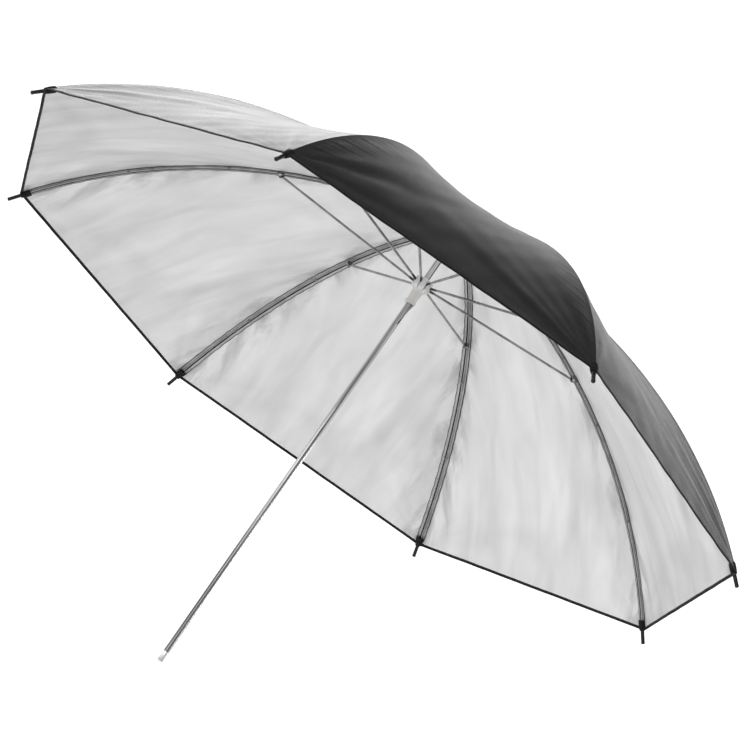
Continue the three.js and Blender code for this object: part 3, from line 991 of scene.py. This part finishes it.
def saddle_clip():
    """The two cheeks of a steel clip on the rib, and the rivet through them that holds the stretcher."""
    inner = RIB_WIDTH / 2 + SADDLE_GAP
    outer = inner + SADDLE_WALL
    half_angle = SADDLE_HALF / BOW_RADIUS
    outline = [
        (-1.0, 0.4), (1.0, 0.4), (1.0, 2.9), (0.62, 4.6), (0.42, 5.7), (0.16, 6.1),
        (-0.16, 6.1), (-0.42, 5.7), (-0.62, 4.6), (-1.0, 2.9),
    ]
    corners = [bow_point(JOINT_ANGLE + turn * half_angle, depth * MM) for turn, depth in outline]
    pieces = []
    for side in (-1, 1):
        cheek = plate(f"cheek_{side}", corners, SADDLE_WALL, SHADED_CHROME, bevel=0.12 * MM)
        cheek.data.transform(Matrix.Translation((0, side * (inner + outer) / 2, 0)))
        pieces.append(cheek)
    at = (JOINT_R, JOINT_Z)
    pieces.append(cross_pin("rivet", 0.8 * MM, 2 * outer, at, STEEL))
    for side in (-1, 1):
        head = cross_pin(f"head_{side}", 1.4 * MM, 0.4 * MM, at, STEEL, dome=0.2 * MM)
        head.data.transform(Matrix.Translation((0, side * (outer + 0.2 * MM), 0)))
        pieces.append(head)
    return joined("saddle", pieces)


def stretcher_rod():
    outer = np.array([JOINT_R, JOINT_Z])
    inner = np.array([RUNNER_PIVOT_R, RUNNER_PIVOT_Z])
    length = np.linalg.norm(outer - inner)
    along = (outer - inner) / length
    up = np.array([-along[1], along[0]])
    start, end = ROD_INSETS[0], length - ROD_INSETS[1]

    def beside_rod(distance, across, down):
        pinch = 0.62 + 0.38 * smooth(min(distance - start, end - distance) / ROD_TAPER)
        r, z = inner + along * distance + up * (down - ROD_DEPTH / 2)
        return r, across * pinch, z

    tapers = [np.linspace(start, start + ROD_TAPER, 8), np.linspace(end - ROD_TAPER, end, 8)]
    stations = np.concatenate(tapers)
    trough = channel(stations, beside_rod, ROD_WIDTH, ROD_DEPTH, ROD_WALL, SHADED_CHROME)
    eye = bar_outline(inner, inner + along * 10 * MM, 1.5 * MM, 1.1 * MM)
    near = plate("near", eye, 1.1 * MM, DARK_STEEL_SHADE)
    eye = bar_outline(outer, outer - along * 6 * MM, 1.6 * MM, 1.1 * MM)
    far = plate("far", eye, 1.1 * MM, SHADED_CHROME)
    far = carved(far, [cross_pin("hole", 1.1 * MM, 8 * MM, tuple(outer), CHROME)])
    return joined("stretcher", [trough, near, far])


def frame_arms():
    for source, name, node, body, slot in (
        (rib_channel(), "rib_channel", "rib", "rib", "chrome"),
        (rib_cap(), "rib_cap", "rib_tip", "rib", "black_plastic"),
        (saddle_clip(), "saddle_clip", "saddle", "rib", "chrome"),
        (stretcher_rod(), "stretcher_rod", "stretcher", "stretcher", "chrome"),
    ):
        for piece in repeated(source, name, node, body):
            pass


# ---------------------------------------------------------------- shaft, runner, notch and crown


def placed(obj, body, slot, *nodes):
    if nodes:
        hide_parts(*nodes)
    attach(obj, body)


def shaft():
    wall = [
        (SHAFT_BORE_R, SHAFT_BOTTOM), (SHAFT_R - 0.15 * MM, SHAFT_BOTTOM), (SHAFT_R, SHAFT_BOTTOM + 0.3 * MM),
        (SHAFT_R, SHAFT_TOP), (SHAFT_BORE_R, SHAFT_TOP), (SHAFT_BORE_R, SHAFT_BOTTOM),
    ]
    tube = lathed("shaft", wall, TUBE_CHROME, 64, 30)
    slot_height = CATCH_HEIGHT + 2 * SLOT_MARGIN
    slot_size = (6 * MM, CATCH_WIDTH + SLOT_CLEARANCE, slot_height)
    slot_middle = (SHAFT_R + 0.3 * MM, 0, CATCH_TOP + SLOT_MARGIN - slot_height / 2)
    slot = box_cutter(slot_size, slot_middle, CATCH_AZIMUTH)
    anchor = cross_pin("anchor_hole", 0.7 * MM, 10 * MM, (0, CATCH_TOP - ANCHOR_DROP), CHROME)
    anchor.data.transform(Matrix.Rotation(CATCH_AZIMUTH - math.pi / 2, 4, "Z"))
    seam = box_cutter(SEAM_LINE, (SHAFT_R, 0, SEAM_LINE_Z), CATCH_AZIMUTH)
    placed(carved(tube, [slot, anchor, seam]), "root", "chrome", "shaft_tube")
    outline = [(0, 0), (2.6, 0), (3.0, 0.15), (3.25, 0.55), (3.3, 1.2), (2.5, 1.2), (2.5, 14), (0, 14)]
    plug = lathed("shaft_plug", in_metres(outline), STEEL, 48)
    placed(plug, "root", "pale_steel", "shaft_end_plug")
    outline = [(3.57, 1.6), (3.62, 1.7), (3.62, 11.8), (3.57, 12.0), (3.57, 1.6)]
    placed(lathed("shaft_end_band", in_metres(outline), STEEL, 48), "root", "pale_steel")


def spring_catch():
    inner = SHAFT_BORE_R - 2.2 * MM
    outer = SHAFT_R + CATCH_STAND_OUT
    outline = [
        (inner, CATCH_TOP), (outer - CATCH_CORNER, CATCH_TOP), (outer, CATCH_TOP - CATCH_CORNER),
        (SHAFT_R - 0.6 * MM, CATCH_TOP - CATCH_RAMP), (inner + 1.1 * MM, CATCH_TOP - CATCH_HEIGHT),
        (inner, CATCH_TOP - CATCH_HEIGHT),
    ]
    catch = plate("spring_catch", outline, CATCH_WIDTH, SHADED_CHROME, bevel=0.18 * MM)
    catch.data.transform(Matrix.Rotation(CATCH_AZIMUTH, 4, "Z"))
    placed(catch, "catch", "chrome", "top_spring_catch")


def slot_cutters(width, from_r, length, low, high):
    middle = (from_r + length / 2, 0, (low + high) / 2)
    return [box_cutter((length, width, high - low), middle, i * GORE) for i in range(RIBS)]


def wire_ring(name, radius, height, thickness):
    turns = np.linspace(0, 2 * np.pi, 96, endpoint=False)
    path = [(radius * math.cos(turn), radius * math.sin(turn), height) for turn in turns]
    return tube_along(name, path, thickness, STEEL, sides=10, closed=True)


def runner_sleeve():
    outline = [
        (3.95, 500), (6.5, 500), (6.8, 500.3), (6.8, 502.7), (6.45, 503.4), (6.05, 504.2), (6.0, 505),
        (6.15, 515), (6.6, 518.6), (8.2, 520.6), (10.6, 521.8), (11.0, 522.4), (11.0, 532.9), (10.7, 533.7),
        (10.0, 534.0), (8.7, 534.0), (8.7, 527.2), (7.1, 527.2), (7.1, 534.0), (4.3, 534.0), (3.95, 533.6),
        (3.95, 500),
    ]
    body = lathed("runner_sleeve", in_metres(outline), NYLON, 96, 40)
    body = carved(body, slot_cutters(**RUNNER_SLOTS))
    placed(bevelled(body, 0.14 * MM, 2, 50), "runner", "nylon", "runner")
    ring = wire_ring("runner_ring", RUNNER_RING_R, RUNNER_PIVOT_Z, 0.45 * MM)
    placed(ring, "runner", "chrome", "runner_wire")


def top_notch():
    outline = [
        (3.85, 597.5), (7.2, 597.5), (7.6, 597.7), (10.0, 599.9), (10.2, 600.4), (10.2, 606.6),
        (9.8, 607.0), (9.1, 607.0), (9.1, 603.6), (7.3, 603.6), (7.3, 607.0), (3.85, 607.0), (3.85, 597.5),
    ]
    body = lathed("notch_disc", in_metres(outline), NYLON, 96, 40)
    body = carved(body, slot_cutters(**NOTCH_SLOTS))
    placed(bevelled(body, 0.12 * MM, 2, 50), "root", "nylon", "top_notch")
    ring = wire_ring("notch_ring", RIB_PIVOT_R, RIB_PIVOT_Z, 0.5 * MM)
    placed(ring, "root", "chrome", "notch_wire")


def crown():
    outline = [
        (3.85, 611.3), (8.6, 611.3), (9.0, 611.6), (9.0, 612.5), (8.5, 613.0), (7.2, 613.8), (6.4, 615.2),
        (6.2, 617), (5.8, 631), (5.4, 633), (4.5, 638.2), (4.2, 639.6), (3.7, 640.6), (3.2, 641), (0, 641),
        (0, 627.6), (3.85, 627.6), (3.85, 611.3),
    ]
    cap = lathed("ferrule", in_metres(outline), MOULDED, 64, 32)
    placed(cap, "root", "black_plastic", "ferrule_cap")
    placed(rosette(), "root", "black_fabric", "rosette")


def rosette():
    """A round patch of cloth between the canopy and the ferrule, with a pinked edge."""
    rings, teeth = [], 48
    for radius, height in ((3.9, 610.0), (9.0, 610.05), (13.5, 609.95), (16.0, 609.75)):
        ring = []
        for j in range(teeth * 4):
            angle = 2 * math.pi * j / (teeth * 4)
            tooth = 0.55 * abs(((j % 4) - 2) / 2) if radius > 15 else 0
            wave = 0.12 * math.sin(5 * angle) * (radius / 16) ** 2
            reach = radius - tooth
            ring.append((reach * math.cos(angle), reach * math.sin(angle), height + wave))
        rings.append(in_metres(ring))
    top_rings = [[(x, y, z + 0.5 * MM) for x, y, z in ring] for ring in reversed(rings)]
    patch = swept("rosette_patch", rings + top_rings, TAPE, closed_path=True, sharp_angle=60)
    return patch


# ---------------------------------------------------------------- studio


def studio():
    """A pale floor, a white surround that is darker behind the camera, and two soft lights."""
    bpy.context.scene.view_settings.view_transform = "Standard"
    mesh = bpy.data.meshes.new("floor")
    corners = [(x * FLOOR_REACH, y * FLOOR_REACH, FLOOR_Z) for x, y in ((-1, -1), (1, -1), (1, 1), (-1, 1))]
    mesh.from_pydata(corners, [], [(0, 1, 2, 3)])
    mesh.materials.append(pale_floor())
    added("floor", mesh)
    surround()
    soft_light("back", **BACK_LIGHT)
    soft_light("front", **FRONT_LIGHT)


def surround():
    """The world's light by direction; the camera itself sees plain white."""
    world = bpy.data.worlds.new("studio")
    world.use_nodes = True
    nodes, links = world.node_tree.nodes, world.node_tree.links
    background = nodes["Background"]
    direction = nodes.new("ShaderNodeTexCoord")
    toward = nodes.new("ShaderNodeVectorMath")
    toward.operation = "DOT_PRODUCT"
    toward.inputs[1].default_value = DARK_SIDE
    links.new(direction.outputs["Generated"], toward.inputs[0])
    height = nodes.new("ShaderNodeSeparateXYZ")
    links.new(direction.outputs["Generated"], height.inputs[0])
    dark_side = faded(nodes, links, toward.outputs["Value"], DARK_SIDE_FADE)
    overhead = faded(nodes, links, height.outputs["Z"], OVERHEAD_FADE)
    both = combined(nodes, links, "MULTIPLY", dark_side, overhead)
    path = nodes.new("ShaderNodeLightPath")
    seen = combined(nodes, links, "MAXIMUM", path.outputs["Is Camera Ray"], both)
    links.new(seen, background.inputs["Strength"])
    background.inputs["Color"].default_value = grey(1.0)
    bpy.context.scene.world = world


def faded(nodes, links, value, limits):
    """A smooth change of strength: from, to, strength before and strength after."""
    node = nodes.new("ShaderNodeMapRange")
    node.interpolation_type = "SMOOTHSTEP"
    for socket, limit in enumerate(limits, start=1):
        node.inputs[socket].default_value = limit
    links.new(value, node.inputs[0])
    return node.outputs[0]


def combined(nodes, links, operation, first, second):
    node = nodes.new("ShaderNodeMath")
    node.operation = operation
    links.new(first, node.inputs[0])
    links.new(second, node.inputs[1])
    return node.outputs[0]


def soft_light(name, place, aim, size, power):
    lamp = bpy.data.lights.new(name, "AREA")
    lamp.size = size
    lamp.energy = power
    obj = added(name, lamp)
    obj.location = place
    obj.rotation_mode = "QUATERNION"
    obj.rotation_quaternion = (Vector(aim) - Vector(place)).to_track_quat("-Z", "Y")


def camera():
    lens = bpy.data.cameras.new("camera")
    lens.lens = CAMERA_LENS
    lens.sensor_width = 36
    obj = added("camera", lens)
    turn = Matrix((CAMERA_RIGHT, CAMERA_UP, -CAMERA_FORWARD)).transposed()
    obj.matrix_world = Matrix.Translation(CAMERA_PLACE) @ turn.to_4x4()
    bpy.context.scene.camera = obj


camera()
studio()
canopy()
sewn_trim()
frame_arms()
shaft()
spring_catch()
runner_sleeve()
top_notch()
crown()
